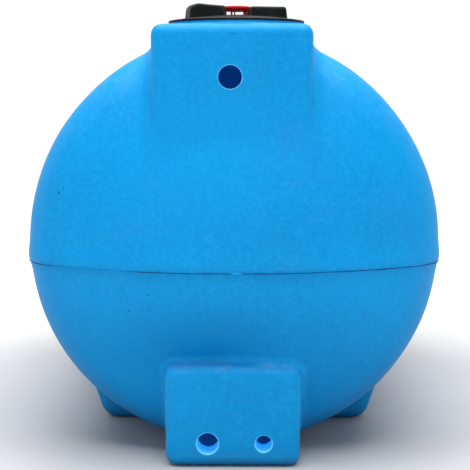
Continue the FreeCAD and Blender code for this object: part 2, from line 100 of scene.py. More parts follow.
# Feet
FOOT_OUTER = 271 * MM
FOOT_WIDTH = 115 * MM
FOOT_HALF_LENGTH = 82 * MM
FOOT_CENTRES_Y = (-180 * MM, 180 * MM)
FOOT_HEIGHT = 190 * MM
FOOT_OUTER_FLARE = 0.31
FOOT_END_FLARE = 0.12
FOOT_EDGE = 25 * MM
FOOT_FILLET = 32 * MM
FILLET_FADE = 60 * MM               # height under which the fillets grow smaller
FILLET_LEAST = 0.02                 # share of a fillet that is left at the floor

# Slow waves in the wall: radians per metre along x, y and z, and start
WARP_DEPTH = 0.45 * MM
WARP_PAIRS = (
    (((21, 0, 9), 1.3), ((0, -6, 17), 0.4)),
    (((0, 13, 8), 2.1), ((11, 0, -5), 0.9)),
)

# Lid plate, and the grip bar that stands on it
LID_X = 5 * MM
LID_Y = -443 * MM
LID_RADIUS = 126 * MM
LID_CROWN_Z = 817.5 * MM
LID_FALL = 9.6 * MM                 # how much lower the plate's rim is than its middle
LID_SKIN = 2.5 * MM                 # how deep the grip's skin reaches into the plate
GRIP_TURN = 17                      # degrees
GRIP_HALF = 93.4 * MM
GRIP_END = 21.9 * MM                # half width at the ends
GRIP_WAIST = 15.9 * MM              # half width in the middle
GRIP_TOP = 835.7 * MM
GRIP_LEAN = 0.09
GRIP_RISE = 5 * MM                  # how much higher the near end is
GRIP_SHOULDER = 10 * MM             # how far the near end's shoulder falls off
GRIP_SHOULDER_FROM = 0.78           # share of the half length where the fall starts
GRIP_EDGE = 5 * MM
GRIP_BURIED = 20 * MM
GRIP_GAP = 28.6 * MM                # radius left free round the vent cap
GRIP_CREASE = 45                    # degrees

# Filler collar and its mouth; each pair is a step outward and a step up
COLLAR_RADIUS = 125 * MM
COLLAR_TOP = 804 * MM
COLLAR_ROOT = ((5.0 * MM, -3.0 * MM), (3.6 * MM, 0.1 * MM), (1.4 * MM, 0.9 * MM),
               (0.4 * MM, 2.0 * MM), (0, 3.4 * MM))
COLLAR_EDGE = ((0, -1.2 * MM), (-0.4 * MM, -0.4 * MM), (-1.2 * MM, 0))
MOUTH_RADIUS = 107 * MM
REBATE_RADIUS = 120 * MM
REBATE_Z = 799 * MM

# Holes in the front
SOCKET_Z = 45 * MM
SOCKET_DEPTH = 50 * MM
SOCKET_WALL = 8 * MM
SOCKETS = ((-46 * MM, 19.475 * MM), (56 * MM, 15.145 * MM))
SOCKET_LIP = 2.4 * MM
UPPER_HOLE = (-5 * MM, 704 * MM, 21 * MM)
UPPER_HOLE_LIP = 1.3 * MM
LIP_LEAD = 20                       # degrees between a lip's outer end and the face
LIP_STEPS = 5
LIP_RUN = 1.8 * MM                  # how far a cutter stands out of the face

# Meshes made from the fields
OUTER_PITCH = 8.4 * MM
INNER_PITCH = 15 * MM
GRIP_PITCH = 1.7 * MM
GRID_MARGIN = 3                     # cells round the box
GRADIENT_STEP = 0.2 * MM
SLOPE_LEAST = 0.2                   # smallest squared slope that a point is moved by
SLOPE_TINY = 1e-9                   # stands in for a slope of zero in a division
EVEN_ROUNDS = 4
EVEN_SHARE = 0.5                    # part of the way to its neighbours' middle
SETTLE_ROUNDS = 3
HOLE_SEGMENTS = 96
COLLAR_SEGMENTS = 160
CUT_CREASE = 32                     # degrees over which a cut edge stays crisp
ON_SURFACE = 0.05 * MM
NORMAL_MATCH = 0.8                  # cosine between a field's slope and a face's normal
FRONT_SHARE = 0.9                   # faces that look more to the front than this are outside

# Bead of flash along the parting line, with a torn burr near the middle of the front
BEAD_STEP = 6 * MM
BEAD_HALF_HEIGHT = 0.8 * MM
BEAD_REACH = 1.5 * MM
BEAD_ROOT = -1.5 * MM               # how deep the bead is sunk in the wall
BEAD_WANDER = 0.35 * MM
BURR_X = 7 * MM
BURR_HALF_WIDTH = 13 * MM
BURR_REACH = 1.6 * MM
BURR_SWELL = 0.9                    # extra height, as a share of the bead's
BURR_LIFT = 0.8 * MM
# Place and half sizes of the painted highlight on the burr
BURR_PLACE = (BURR_X, FACE_Y - 26 * MM, PARTING_Z + 1.5 * MM)
BURR_PAINTED_HIGHLIGHT = (18 * MM, 14 * MM, 3 * MM)
SEARCH_NEAR = 0.30                  # the wall at the seam is between these radii
SEARCH_FAR = 0.75
SEARCH_WAYS = 1800
SEARCH_ROUNDS = 28

# Unevenness along the bead's run: share, radians per metre, and start
WANDER_WAVES = ((0.5, 31, 0), (0.35, 83, 1.7), (0.25, 211, 0.6))
REACH_WAVES = ((0.22, 57, 0.8), (0.18, 173, 2.2))
HEIGHT_WAVES = ((0.15, 129, 0),)

# Colours, as linear red, green and blue
BLUE = (0.000, 0.300, 0.700)
BLUE_DEEP = (0.000, 0.265, 0.640)
BLUE_PALE = (0.004, 0.380, 0.800)
BLUE_DARK = (0.000, 0.200, 0.540)
# Painted shade for surfaces that face down
BLUE_PAINTED_SHADE_UNDER = (0.000, 0.120, 0.340)
BLUE_PURPLE = (0.030, 0.245, 0.680)
SCUFF = (0.16, 0.46, 0.80)
# Pale grey for dust and a painted sheen on surfaces that face up
DUST_AND_PAINTED_SHEEN = (0.42, 0.52, 0.60)
NEAR_FLOOR_DARK = (0.05, 0.10, 0.16)
SPECK = (0.004, 0.03, 0.10)
# Deeper blue and glow of the inside: painted shade and painted light
INSIDE_PAINTED_SHADE = (0.002, 0.120, 0.400)
INSIDE_PAINTED_GLOW = (0.001, 0.028, 0.100)
INSIDE_PAINTED_GLOW_DEEP = (0.0, 0.018, 0.076)
# Pale blue and glow of the bore walls: painted light
BORE_PAINTED_LIGHT = (0.12, 0.50, 0.90)
BORE_PAINTED_LIGHT_PALE = (0.22, 0.58, 0.93)
BORE_PAINTED_GLOW = (0.020, 0.400, 0.800)
BORE_PAINTED_GLOW_DEEP = (0.004, 0.300, 0.680)
# Painted shade along the parting line
SEAM_PAINTED_SHADE_DEEP = (0.000, 0.050, 0.190)
SEAM_PAINTED_SHADE = (0.000, 0.120, 0.380)
BLACK = (0.004, 0.005, 0.006)
BLACK_WORN = (0.009, 0.010, 0.011)
# Pale grey for dust, a painted highlight on top, and scratches
BLACK_DUST_SHEEN_AND_SCRATCH = (0.17, 0.175, 0.18)
RED = (0.560, 0.006, 0.010)
RED_DEEP = (0.340, 0.005, 0.008)
RED_BLEACHED = (0.560, 0.024, 0.028)
RUBBER = (0.016, 0.016, 0.017)
RUBBER_BLOOM = (0.060, 0.060, 0.058)
STEEL = (0.560, 0.550, 0.530)
STEEL_STAINED = (0.400, 0.370, 0.330)
STEEL_DIRTY = (0.120, 0.100, 0.080)
FLOOR_PALE = (0.52, 0.52, 0.52)
FLOOR_PALER = (0.56, 0.56, 0.56)
WALL_PALE = (0.90, 0.90, 0.90)

# Strengths of the looks
BLUE_GLOSS = 0.12
BLACK_GLOSS = 0.14
RED_GLOSS = 0.14
INSIDE_PAINTED_GLOW_STRENGTH = 0.9
BORE_PAINTED_GLOW_STRENGTH = 0.45
PAINTED_SHADE_FROM = -0.12                  # upward share of the normal where the painted shade on undersides starts
PAINTED_SHADE_TO = -0.80                    # and where it is full
PAINTED_SHADE_STRENGTH = 0.70
NEAR_FLOOR_DARK_TOP = 45 * MM                 # height below which the wall is darkened in blotches
SCUFF_STRENGTH = 0.16
SCUFF_ROUGH = 0.5                   # how much rougher scuffs, dust with its painted sheen, and bleaching are
DUST_AND_SHEEN_ROUGH = 0.6
BLACK_DUST_AND_SHEEN_ROUGH = 0.45
BLEACH_ROUGH = 0.3
SCRATCH_STRENGTH = 0.2

# Stretch along each axis, and turns in radians, of the lined patterns
SCUFF_STRETCH = (1.0, 1.0, 26.0)
SCUFF_TURN = (0.0, 0.12, 0.0)
SCRATCH_STRETCH = (1.0, 7.0, 1.0)
SCRATCH_TURN = (0.0, 0.0, 0.5)
RING_STRETCH = (0.05, 12.0, 0.05)
TURNED_STRETCH = (1.0, 1.0, 60.0)

# Dark specks: centre, half sizes and strength
SPECKS = (
    ((-319 * MM, -520 * MM, 495 * MM), (2.2 * MM, 40 * MM, 3.2 * MM), 0.9),
    ((-310 * MM, -525 * MM, 503 * MM), (1.8 * MM, 40 * MM, 1.8 * MM), 0.9),
    ((-152 * MM, -590 * MM, 319 * MM), (4.5 * MM, 40 * MM, 2.2 * MM), 0.5),
    ((-187 * MM, -590 * MM, 286 * MM), (3.2 * MM, 40 * MM, 2.6 * MM), 0.6),
    ((-166 * MM, -590 * MM, 289 * MM), (4.0 * MM, 40 * MM, 2.4 * MM), 0.35),
    ((-150 * MM, -590 * MM, 291 * MM), (4.0 * MM, 40 * MM, 3.0 * MM), 0.35),
    ((0 * MM, -572 * MM, 779 * MM), (14 * MM, 30 * MM, 1.8 * MM), 0.45),
)

# Stretch of the parting line left without the painted shade, in the same terms
SEAM_UNSHADED = ((-256 * MM, -540 * MM, 360 * MM), (120 * MM, 170 * MM, 40 * MM), 0.75)

# Edge of every speck: lumps to the metre, and where it ends and where it is full
SPOT_GRAIN = 900.0
SPOT_OUTER = 1.3
SPOT_INNER = 1.1

# Values between which a noise mostly runs
NOISE_LOW = 0.3
NOISE_HIGH = 0.7

# Stage, in metres
COVE_FLOOR = 5.0                    # radius of the flat floor
COVE_WALL = 7.0
COVE_TOP = 3.4
COVE_PALE_FROM = 0.6                # distance at which the floor starts to grow paler
COVE_PALE_TO = 1.5
COVE_STEPS = 16
COVE_SIDES = 96

# Soft lights: name, place, target, side and watts
LIGHTS = (
    ("overhead", (-0.05, -0.5, 4.2), (0, -0.4, 0.0), 4.6, 335),
    ("front", (0.3, -5.2, 2.2), (0, 0, 0.45), 2.6, 13),
    ("backdrop", (0, 2.4, 3.6), (0, 7.0, 0.9), 3.0, 110),
)
WORLD_COLOUR = (1.0, 1.0, 1.0, 1.0)
WORLD_STRENGTH = 0.25

# Camera, in the model's frame
CAMERA_PLACE = (0.026, -2.701, 0.678)
CAMERA_PITCH = 6.8                  # degrees down
CAMERA_YAW = 0.6                    # degrees to the left
FOCAL_PIXELS = 1200
IMAGE_SIDE = 470
SENSOR_WIDTH = 36


# ---------------------------------------------------------------- shape of the tank

def joined(first, second, fillet):
    """Union of two distance fields with a round fillet between them."""
    reach_first = np.maximum(fillet - first, 0)
    reach_second = np.maximum(fillet - second, 0)
    return np.maximum(fillet, np.minimum(first, second)) - np.hypot(reach_first, reach_second)


def rounded(sides, radius):
    """Convex block with round edges from the signed distances to its sides."""
    lifted = np.stack(sides) + radius
    outside = np.linalg.norm(np.maximum(lifted, 0), axis=0)
    inside = np.minimum(lifted.max(axis=0), 0)
    return outside + inside - radius


def eased(share):
    """Smooth step from 0 to 1 for a share from 0 to 1."""
    return share ** 2 * (3 - 2 * share)


def bump(offset, half_width):
    """Smooth hump that is 1 in the middle and 0 beyond half_width."""
    share = np.clip(np.abs(offset) / half_width, 0, 1)
    return 0.5 + 0.5 * np.cos(math.pi * share)


def barrel_field(x, y, z):
    """Distance to the barrel with its domed ends, hoops and swollen seam."""
    up = z - AXIS_Z
    radial = np.hypot(x, np.where(up > 0, up * UPPER_SQUEEZE, up))
    along = np.abs(y) - RING_Y
    knuckle_z = BARREL_RADIUS - KNUCKLE_RADIUS
    gap = DOME_DEPTH - KNUCKLE_RADIUS
    crown = (knuckle_z ** 2 + DOME_DEPTH ** 2 - KNUCKLE_RADIUS ** 2) / (2 * gap)
    crown_y = DOME_DEPTH - crown
    to_side = radial - BARREL_RADIUS
    to_knuckle = np.hypot(radial - knuckle_z, along) - KNUCKLE_RADIUS
    to_crown = np.hypot(radial, along - crown_y) - crown
    under_crown = radial * (0 - crown_y) < knuckle_z * (along - crown_y)
    distance = np.where(along < 0, to_side, np.where(under_crown, to_crown, to_knuckle))
    inner_ring = (along < 0) & (radial < knuckle_z)
    distance = np.where(inner_ring, np.maximum(to_side, -KNUCKLE_RADIUS), distance)
    for centre in HOOPS_Y:
        distance = distance + HOOP_DEPTH * bump(y - centre, HOOP_HALF_WIDTH)
    rise = z - PARTING_Z
    swell = np.exp(-0.5 * ((rise - SEAM_SWELL_RISE) / SEAM_SWELL_SPREAD) ** 2)
    below = np.clip(0.5 - rise / (2 * SEAM_STEP_HALF), 0, 1)
    step = eased(below) * np.exp(np.minimum(rise, 0) / SEAM_STEP_FADE)
    return distance - SEAM_SWELL * swell + SEAM_STEP * step


def turret_field(x, y, z):
    """Distance to the filler turret, whose front is slightly bowed."""
    out = x - TURRET_X
    front = FACE_Y + TURRET_SETBACK + TURRET_BOW * (out / TURRET_HALF) ** 2 - y
    sides = (out - TURRET_HALF, -out - TURRET_HALF, front, y - TURRET_BACK,
             z - TURRET_TOP, TURRET_ROOT - z)
    return rounded(sides, TURRET_EDGE)


def turret_fillet(x, y):
    """Fillet at the turret's foot: tight under the face, wide along the sides and back."""
    beside = np.clip((np.abs(x - TURRET_X) - TURRET_HALF) / TURRET_EDGE + 1, 0, 1)
    behind = np.clip((y - FACE_Y) / TURRET_EDGE - 1, 0, 1)
    share = np.maximum(beside, behind)
    return TURRET_CREASE + (TURRET_FILLET - TURRET_CREASE) * eased(share)


def boss_field(x, y, z):
    """Distance to the outlet boss, whose top is slightly arched."""
    top = BOSS_TOP + BOSS_ARCH * (1 - (x / BOSS_HALF) ** 2)
    half = BOSS_HALF + BOSS_FLARE * (z - SOCKET_Z)
    sides = (x - half, -x - half, FACE_Y - y, y - BOSS_BACK, z - top, -z)
    return rounded(sides, BOSS_EDGE)


def foot_field(x, y, z, side, centre_y):
    """Distance to one flared foot."""
    out = side * x
    outer = (out - FOOT_OUTER - FOOT_OUTER_FLARE * z) / math.hypot(1, FOOT_OUTER_FLARE)
    inner = FOOT_OUTER - FOOT_WIDTH - out
    half = FOOT_HALF_LENGTH + FOOT_END_FLARE * z
    ends = (np.abs(y - centre_y) - half) / math.hypot(1, FOOT_END_FLARE)
    return rounded((outer, inner, ends, -z, z - FOOT_HEIGHT), FOOT_EDGE)


def warp(x, y, z):
    """Slow waves of a moulded wall that cooled unevenly."""
    total = 0
    for pair in WARP_PAIRS:
        product = 1
        for (turn_x, turn_y, turn_z), start in pair:
            product = product * np.sin(turn_x * x + turn_y * y + turn_z * z + start)
        total = total + product
    return WARP_DEPTH * total


def hollow(x, y, z):
    """Shallow sunken patch in the front dome, over the outlet boss."""
    across = (x - HOLLOW_X) / HOLLOW_HALF_WIDTH
    up = (z - HOLLOW_Z) / HOLLOW_HALF_HEIGHT
    return HOLLOW_DEPTH * np.exp(-0.5 * (across ** 2 + up ** 2)) * (y < 0)


def tank_field(points):
    """Signed distance to the outside of the tank, in metres."""
    x, y, z = points[:, 0], points[:, 1], points[:, 2]
    over_floor = np.clip(z / FILLET_FADE, FILLET_LEAST, 1)
    field = barrel_field(x, y, z) + hollow(x, y, z)
    field = joined(field, turret_field(x, y, z), turret_fillet(x, y))
    field = joined(field, boss_field(x, y, z), BOSS_FILLET * over_floor)
    for side in (-1, 1):
        for centre_y in FOOT_CENTRES_Y:
            foot = foot_field(x, y, z, side, centre_y)
            field = joined(field, foot, FOOT_FILLET * over_floor)
    return field + warp(x, y, z) * over_floor


def inside_field(points):
    """Signed distance to the inside of the tank's wall."""
    return tank_field(points) + WALL


def gradient(field, points):
    """Slope of a field at each point."""
    slope = np.empty_like(points)
    for axis in range(3):
        step = np.zeros(3)
        step[axis] = GRADIENT_STEP
        slope[:, axis] = (field(points + step) - field(points - step)) / (2 * GRADIENT_STEP)
    return slope


def settle(field, points, rounds):
    """Move points onto the zero level of a field."""
    for _ in range(rounds):
        slope = gradient(field, points)
        size = np.maximum((slope ** 2).sum(axis=1), SLOPE_LEAST)
        points = points - slope * (field(points) / size)[:, None]
    return points


def grid_values(field, axes):
    """Field at every point of a grid, one slice at a time."""
    shape = tuple(len(axis) for axis in axes)
    values = np.empty(shape)
    grid_y, grid_z = np.meshgrid(axes[1], axes[2], indexing="ij")
    flat = np.column_stack((np.zeros(grid_y.size), grid_y.ravel(), grid_z.ravel()))
    for index, x in enumerate(axes[0]):
        flat[:, 0] = x
        values[index] = field(flat).reshape(shape[1:])
    return values


def surface_net(field, low, high, pitch):
    """Closed quad mesh of the zero level of a field: its points and its quads."""
    axes = [np.arange(low[i], high[i] + pitch, pitch) for i in range(3)]
    values = grid_values(field, axes)
    inside = values < 0
    cells = tuple(size - 1 for size in values.shape)
    corner_count = np.zeros(cells, int)
    for dx in (0, 1):
        for dy in (0, 1):
            for dz in (0, 1):
                corner_count += inside[dx:dx + cells[0], dy:dy + cells[1], dz:dz + cells[2]]
    mixed = (corner_count > 0) & (corner_count < 8)
    number = np.full(cells, -1)
    number[mixed] = np.arange(mixed.sum())
    total = np.zeros((int(mixed.sum()), 3))
    count = np.zeros(int(mixed.sum()))
    quads = []
    for axis in range(3):
        quads.append(crossings(values, inside, axes, axis, number, total, count))
    points = total / count[:, None]
    return points, np.concatenate(quads)


def crossings(values, inside, axes, axis, number, total, count):
    """Quads round the grid edges along one axis that cross the surface."""
    first = [slice(1, -1)] * 3
    second = [slice(1, -1)] * 3
    first[axis] = slice(0, -1)
    second[axis] = slice(1, None)
    before = inside[tuple(first)]
    after = inside[tuple(second)]
    found = np.argwhere(before != after)
    offset = np.ones(3, int)
    offset[axis] = 0
    low = found + offset
    high = low.copy()
    high[:, axis] += 1
    low_value = values[tuple(low.T)]
    high_value = values[tuple(high.T)]
    share = low_value / (low_value - high_value)
    place = np.column_stack([axes[i][low[:, i]] for i in range(3)])
    place[:, axis] += share * (axes[axis][1] - axes[axis][0])
    side_a, side_b = (axis + 1) % 3, (axis + 2) % 3
    ring = []
    for step_a, step_b in ((-1, -1), (0, -1), (0, 0), (-1, 0)):
        cell = low.copy()
        cell[:, side_a] += step_a
        cell[:, side_b] += step_b
        index = number[tuple(cell.T)]
        ring.append(index)
        np.add.at(total, index, place)
        np.add.at(count, index, 1)
    quads = np.column_stack(ring)
    leaving = low_value < 0
    quads[~leaving] = quads[~leaving][:, ::-1]
    return quads


def relaxed(field, points, quads, rounds):
    """Even out the spacing of a net's points along its surface."""
    for _ in range(rounds):
        total = np.zeros_like(points)
        count = np.zeros(len(points))
        for corner in range(4):
            here, there = quads[:, corner], quads[:, (corner + 1) % 4]
            for axis in range(3):
                total[:, axis] += np.bincount(here, points[there, axis], len(points))
                total[:, axis] += np.bincount(there, points[here, axis], len(points))
            count += np.bincount(here, minlength=len(points))
            count += np.bincount(there, minlength=len(points))
        middle = total / count[:, None]
        points = settle(field, points + EVEN_SHARE * (middle - points), 1)
    return settle(field, points, SETTLE_ROUNDS)


def net_object(name, field, low, high, pitch):
    """Object with the closed surface of a field inside a box."""
    margin = GRID_MARGIN * pitch
    low = np.array(low) - margin
    high = np.array(high) + margin
    points, quads = surface_net(field, low, high, pitch)
    points = relaxed(field, points, quads, EVEN_ROUNDS)
    return mesh_object(name, points.tolist(), quads.tolist())


def mesh_object(name, points, faces):
    """Object from points and faces."""
    mesh = bpy.data.meshes.new(name)
    mesh.from_pydata(points, [], faces)
    mesh.update()
    piece = bpy.data.objects.new(name, mesh)
    bpy.context.scene.collection.objects.link(piece)
    return piece


def lathe_object(name, profile, segments, place, axis):
    """Closed solid of revolution. profile is (radius, height) pairs from end to end."""
    points = []
    faces = []
    for radius, height in profile:
        for index in range(segments):
            angle = 2 * math.pi * index / segments
            points.append((radius * math.cos(angle), radius * math.sin(angle), height))
    rings = len(profile)
    for ring in range(rings - 1):
        for index in range(segments):
            following = (index + 1) % segments
            faces.append((ring * segments + index, ring * segments + following,
                          (ring + 1) * segments + following, (ring + 1) * segments + index))
    faces.append(tuple(reversed(range(segments))))
    faces.append(tuple((rings - 1) * segments + index for index in range(segments)))
    turn = Vector(UP).rotation_difference(Vector(axis))
    placed = [turn @ Vector(point) + Vector(place) for point in points]
    return mesh_object(name, placed, faces)


def lip_profile(radius, lip, depth):
    """Cutter for a hole with a rounded lip; height 0 is the face and the hole goes up."""
    profile = []
    lead = math.radians(LIP_LEAD)
    for step in range(LIP_STEPS + 1):
        angle = lead + (math.pi / 2 - lead) * step / LIP_STEPS
        profile.append((radius + lip - lip * math.sin(angle), lip - lip * math.cos(angle)))
    start_radius, start_height = profile[0]
    profile.insert(0, (start_radius + LIP_RUN / math.tan(lead), start_height - LIP_RUN))
    profile.append((radius, depth))
    return profile


def cut(piece, tool, operation):
    """Boolean step on a piece with a tool that isn't kept."""
    modifier = piece.modifiers.new("cut", "BOOLEAN")
    modifier.operation = operation
    modifier.solver = "MANIFOLD"
    modifier.object = tool
    depsgraph = bpy.context.evaluated_depsgraph_get()
    mesh = bpy.data.meshes.new_from_object(piece.evaluated_get(depsgraph))
    old = piece.data
    piece.modifiers.clear()
    piece.data = mesh
    bpy.data.meshes.remove(old)
    tool_mesh = tool.data
    bpy.data.objects.remove(tool)
    bpy.data.meshes.remove(tool_mesh)


def collar_profile():
    """Outside of the raised collar under the lid, from inside the turret's top."""
    root = [(COLLAR_RADIUS + out, TURRET_TOP + up) for out, up in COLLAR_ROOT]
    edge = [(COLLAR_RADIUS + out, COLLAR_TOP + up) for out, up in COLLAR_EDGE]
    return root + edge


def smooth_normals(mesh):
    """Normals straight from the fields, apart from cut edges, which stay crisp."""
    mesh.shade_smooth()
    mesh.set_sharp_from_angle(angle=math.radians(CUT_CREASE))
    corner_count = len(mesh.loops)
    corner_vertex = np.empty(corner_count, np.int32)
    mesh.loops.foreach_get("vertex_index", corner_vertex)
    normals = np.empty(corner_count * 3, np.float32)
    mesh.corner_normals.foreach_get("vector", normals)
    normals = normals.reshape(-1, 3)
    points = np.empty(len(mesh.vertices) * 3, np.float32)
    mesh.vertices.foreach_get("co", points)
    points = points.reshape(-1, 3).astype(float)
    level = tank_field(points)
    slope = gradient(tank_field, points)
    slope /= np.maximum(np.linalg.norm(slope, axis=1), SLOPE_TINY)[:, None]
    outer = np.abs(level) < ON_SURFACE
    inner = np.abs(level + WALL) < ON_SURFACE
    slope[inner] *= -1
    known = outer | inner
    wanted = slope[corner_vertex]
    fits = known[corner_vertex] & ((wanted * normals).sum(axis=1) > NORMAL_MATCH)
    normals[fits] = wanted[fits]
    mesh.normals_split_custom_set(normals.tolist())


def mark_faces(mesh):
    """Material numbers: 0 outside, 1 inside of the tank, 2 walls of the holes, painted
    lighter.
    """
    count = len(mesh.polygons)
    middle = np.empty(count * 3, np.float32)
    mesh.polygons.foreach_get("center", middle)
    middle = middle.reshape(-1, 3).astype(float)
    x, y, z = middle.T
    facing = np.empty(count * 3, np.float32)
    mesh.polygons.foreach_get("normal", facing)
    in_front = facing.reshape(-1, 3)[:, 1] < -FRONT_SHARE
    number = np.where(tank_field(middle) < -WALL / 2, 1, 0)
    for hole_x, radius in SOCKETS:
        off_axis = np.hypot(x - hole_x, z - SOCKET_Z)
        near = (y < FACE_Y + SOCKET_DEPTH + WALL) & (off_axis < radius + SOCKET_LIP)
        number[near & ~in_front] = 2
    hole_x, hole_z, radius = UPPER_HOLE
    off_axis = np.hypot(x - hole_x, z - hole_z)
    near = (y < FACE_Y + 2 * WALL) & (off_axis < radius + UPPER_HOLE_LIP)
    number[near & ~in_front] = 2
    mesh.polygons.foreach_set("material_index", number.astype(np.int32))


def make_tank_skin():
    """Hollow moulded shell with its collar, mouth, sockets and holes."""
    low = (-BARREL_RADIUS, -RING_Y - DOME_DEPTH, 0)
    high = (BARREL_RADIUS, RING_Y + DOME_DEPTH, TURRET_TOP)
    skin = net_object("tank_skin", tank_field, low, high, OUTER_PITCH)
    cavity = net_object("cavity", inside_field, low, high, INNER_PITCH)
    collar = lathe_object("collar", collar_profile(), COLLAR_SEGMENTS, (LID_X, LID_Y, 0), UP)
    cut(skin, collar, "UNION")
    for x, radius in SOCKETS:
        tube = [(radius + SOCKET_WALL, 0), (radius + SOCKET_WALL, SOCKET_DEPTH)]
        place = (x, FACE_Y, SOCKET_Z)
        cut(cavity, lathe_object("tube", tube, HOLE_SEGMENTS, place, INWARD), "DIFFERENCE")
    cut(skin, cavity, "DIFFERENCE")
    for x, radius in SOCKETS:
        profile = lip_profile(radius, SOCKET_LIP, SOCKET_DEPTH + WALL)
        place = (x, FACE_Y, SOCKET_Z)
        cut(skin, lathe_object("bore", profile, HOLE_SEGMENTS, place, INWARD), "DIFFERENCE")
    x, z, radius = UPPER_HOLE
    profile = lip_profile(radius, UPPER_HOLE_LIP, 3 * WALL)
    place = (x, FACE_Y + TURRET_SETBACK, z)
    cut(skin, lathe_object("hole", profile, HOLE_SEGMENTS, place, INWARD), "DIFFERENCE")
    mouth = [(MOUTH_RADIUS, TURRET_TOP - 4 * WALL), (MOUTH_RADIUS, REBATE_Z),
             (REBATE_RADIUS, REBATE_Z), (REBATE_RADIUS, COLLAR_TOP + WALL)]
    opening = lathe_object("mouth", mouth, COLLAR_SEGMENTS, (LID_X, LID_Y, 0), UP)
    cut(skin, opening, "DIFFERENCE")
    smooth_normals(skin.data)
    skin.data.materials.clear()
    for material in (blue_polyethylene(), blue_inside(), bore_blue_painted_light()):
        skin.data.materials.append(material)
    mark_faces(skin.data)
    return skin


# ---------------------------------------------------------------- lid grip

def grip_field(points):
    """Distance to the moulded grip on the lid, in two halves beside the vent cap."""
    turn = math.radians(GRIP_TURN)
    x, y, z = points[:, 0] - LID_X, points[:, 1] - LID_Y, points[:, 2]
    along = x * math.cos(turn) + y * math.sin(turn)
    across = y * math.cos(turn) - x * math.sin(turn)
    share = along / GRIP_HALF
    lean = GRIP_LEAN * (z - LID_CROWN_Z)
    half = GRIP_WAIST + (GRIP_END - GRIP_WAIST) * share ** 2 - lean
    near = np.clip(-share, 0, 1)
    shoulder = np.clip((near - GRIP_SHOULDER_FROM) / (1 - GRIP_SHOULDER_FROM), 0, 1)
    top = GRIP_TOP + GRIP_RISE * near ** 2 - GRIP_SHOULDER * shoulder ** 2
    sides = (along - GRIP_HALF + lean, -along - GRIP_HALF + lean,
             across - half, -across - half, z - top, LID_CROWN_Z - GRIP_BURIED - z)
    reach = np.hypot(x, y)
    plate = LID_CROWN_Z - LID_FALL * (reach / LID_RADIUS) ** 2
    inside_lid = np.maximum(GRIP_GAP - reach, plate - LID_SKIN - z)
    return np.maximum(rounded(sides, GRIP_EDGE), inside_lid)


def make_grip():
    """Skin over the lid's grip bar, with a high shoulder at the near end."""
    low = (LID_X - GRIP_HALF, LID_Y - GRIP_HALF / 2, LID_CROWN_Z - LID_FALL)
    high = (LID_X + GRIP_HALF, LID_Y + GRIP_HALF / 2, GRIP_TOP + GRIP_RISE)
    grip = net_object("lid_grip", grip_field, low, high, GRIP_PITCH)
    grip.data.shade_smooth()
    grip.data.set_sharp_from_angle(angle=math.radians(GRIP_CREASE))
    return grip


# ---------------------------------------------------------------- parting line

def parting_path():
    """Points and outward directions round the tank at the height of the parting line."""
    angles = np.linspace(0, 2 * math.pi, SEARCH_WAYS, endpoint=False)
    ways = np.column_stack((np.cos(angles), np.sin(angles), np.zeros(SEARCH_WAYS)))
    near = np.full(SEARCH_WAYS, SEARCH_NEAR)
    far = np.full(SEARCH_WAYS, SEARCH_FAR)
    for _ in range(SEARCH_ROUNDS):
        middle = (near + far) / 2
        places = ways * middle[:, None]
        places[:, 2] = PARTING_Z
        outside = tank_field(places) > 0
        far = np.where(outside, middle, far)
        near = np.where(outside, near, middle)
    path = ways * near[:, None]
    path[:, 2] = PARTING_Z
    closed = np.vstack((path, path[:1]))
    run = np.concatenate(([0], np.cumsum(np.linalg.norm(np.diff(closed, axis=0), axis=1))))
    steps = int(run[-1] / BEAD_STEP)
    wanted = np.arange(steps) * run[-1] / steps
    path = np.column_stack([np.interp(wanted, run, closed[:, axis]) for axis in range(3)])
    outward = gradient(tank_field, path)
    outward[:, 2] = 0
    outward /= np.linalg.norm(outward, axis=1)[:, None]
    return path, outward, wanted


def waves(run, table):
    """Sum of the waves in a table at each distance along the bead."""
    return sum(share * np.sin(run * turn + start) for share, turn, start in table)


def make_parting_line():
    """Irregular bead of flash with a small torn burr near the middle of the front."""
    path, outward, run = parting_path()
    burr = bump(path[:, 0] - BURR_X, BURR_HALF_WIDTH) * (path[:, 1] < 0)
    reach = BEAD_REACH * (1 + waves(run, REACH_WAVES)) + BURR_REACH * burr
    height = BEAD_HALF_HEIGHT * (1 + waves(run, HEIGHT_WAVES) + BURR_SWELL * burr)
    lift = BEAD_WANDER * waves(run, WANDER_WAVES) + BURR_LIFT * burr
    section = ((0, -1.0), (0.35, -1.0), (1.0, -0.45), (1.0, 0.45), (0.35, 1.0), (0, 1.0))
    rings = []
    for out, up in section:
        away = out * reach if out > 0 else np.full(len(path), BEAD_ROOT)
        ring = path + outward * away[:, None]
        ring[:, 2] += up * height + lift
        rings.append(ring)
    count = len(path)
    sides = len(section)
    points = np.stack(rings, axis=1).reshape(-1, 3)
    faces = []
    for index in range(count):
        following = (index + 1) % count
        for side in range(sides):
            beside = (side + 1) % sides
            faces.append((index * sides + side, following * sides + side,
                          following * sides + beside, index * sides + beside))
    piece = mesh_object("parting_line", points.tolist(), faces)
    piece.data.shade_smooth()
    return piece


# ---------------------------------------------------------------- materials

def add_node(tree, kind, **inputs):
    """Shader node with its inputs set, or linked where a socket is given."""
    made = tree.nodes.new(kind)
    for name, value in inputs.items():
        socket = made.inputs[name.replace("_", " ")]
        if isinstance(value, bpy.types.NodeSocket):
            tree.links.new(value, socket)
        else:
            socket.default_value = value
    return made


def noise(tree, place, scale, detail=3.0, roughness=0.5):
    """Noise from 0 to 1; scale is in lumps to the metre."""
    made = add_node(tree, "ShaderNodeTexNoise", Vector=place, Scale=scale, Detail=detail,
                    Roughness=roughness)
    return made.outputs["Fac"]


